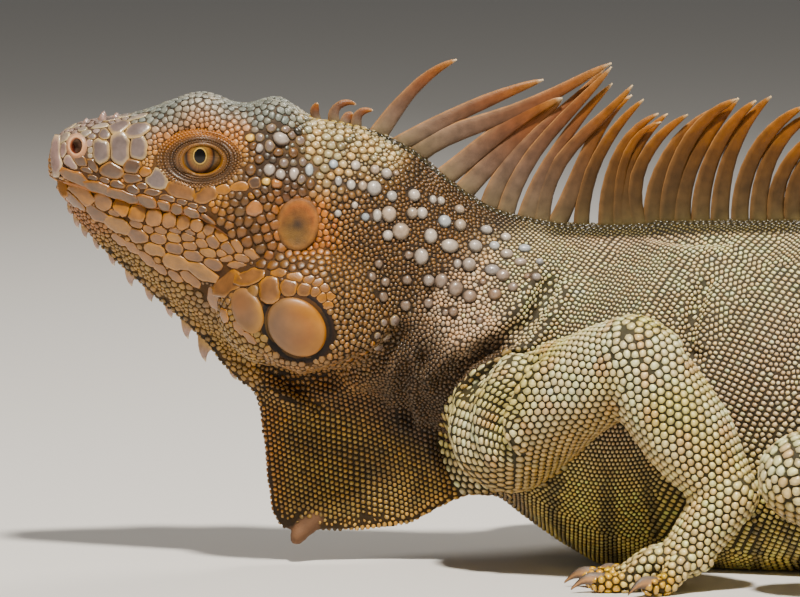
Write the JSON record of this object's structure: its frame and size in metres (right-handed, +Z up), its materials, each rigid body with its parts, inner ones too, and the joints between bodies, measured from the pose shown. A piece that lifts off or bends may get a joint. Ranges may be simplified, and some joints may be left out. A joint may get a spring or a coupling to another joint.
{
  "type": "iguana",
  "caption": "Still life-size model of an adult male iguana lying with raised head, throat fan, spiny crest and long tail on the floor.",
  "frame": {"origin": "on the floor under the middle of the whole animal's box", "axes": "+Z up, -X the way the head points, -Y the animal's left side"},
  "size_m": [1.0598, 0.272, 0.1735],
  "materials": {
    "head_scales": "pearly head plates, tan, pink and grey with dark seams",
    "neck_scales": "tan and cream beads on dark skin, pearl grey tubercles",
    "body_scales": "small cream and olive scales on nearly black skin",
    "tail_scales": "keeled olive and brown scales with dark bands",
    "dewlap_scales": "golden tan scales on dark brown folded skin",
    "leg_scales": "yellow green and cream scales on nearly black skin",
    "crest_horn": "flexible spines, mauve brown to orange with pale tips",
    "claw_horn": "dark brown horn, satin",
    "eye": "wet, gold and brown iris, round black pupil",
    "eardrum": "smooth thin orange tan skin, darker in the middle",
    "cheek_plate": "smooth pearly salmon plate with a dark rim"
  },
  "bodies": {
    "root": {"head": "head_scales", "lower_jaw": "head_scales", "neck": "neck_scales", "torso": "body_scales", "tail_1": "tail_scales", "tail_2": "tail_scales", "tail_3": "tail_scales", "tail_4": "tail_scales", "tail_5": "tail_scales", "tail_6": "tail_scales", "tail_7": "tail_scales", "tail_8": "tail_scales", "tail_9": "tail_scales", "dewlap": "dewlap_scales", "eye_left": "eye", "ear_left": "eardrum", "cheek_plate_left": "cheek_plate", "upper_arm_left": "leg_scales", "forearm_left": "leg_scales", "hand_left": "leg_scales", "hand_left_claw_1": "claw_horn", "hand_left_claw_2": "claw_horn", "hand_left_claw_3": "claw_horn", "hand_left_claw_4": "claw_horn", "hand_left_claw_5": "claw_horn", "thigh_left": "leg_scales", "shank_left": "leg_scales", "foot_left": "leg_scales", "foot_left_claw_1": "claw_horn", "foot_left_claw_2": "claw_horn", "foot_left_claw_3": "claw_horn", "foot_left_claw_4": "claw_horn", "foot_left_claw_5": "claw_horn", "eye_right": "eye", "ear_right": "eardrum", "cheek_plate_right": "cheek_plate", "upper_arm_right": "leg_scales", "forearm_right": "leg_scales", "hand_right": "leg_scales", "hand_right_claw_1": "claw_horn", "hand_right_claw_2": "claw_horn", "hand_right_claw_3": "claw_horn", "hand_right_claw_4": "claw_horn", "hand_right_claw_5": "claw_horn", "thigh_right": "leg_scales", "shank_right": "leg_scales", "foot_right": "leg_scales", "foot_right_claw_1": "claw_horn", "foot_right_claw_2": "claw_horn", "foot_right_claw_3": "claw_horn", "foot_right_claw_4": "claw_horn", "foot_right_claw_5": "claw_horn"}
  },
  "joints": []
}
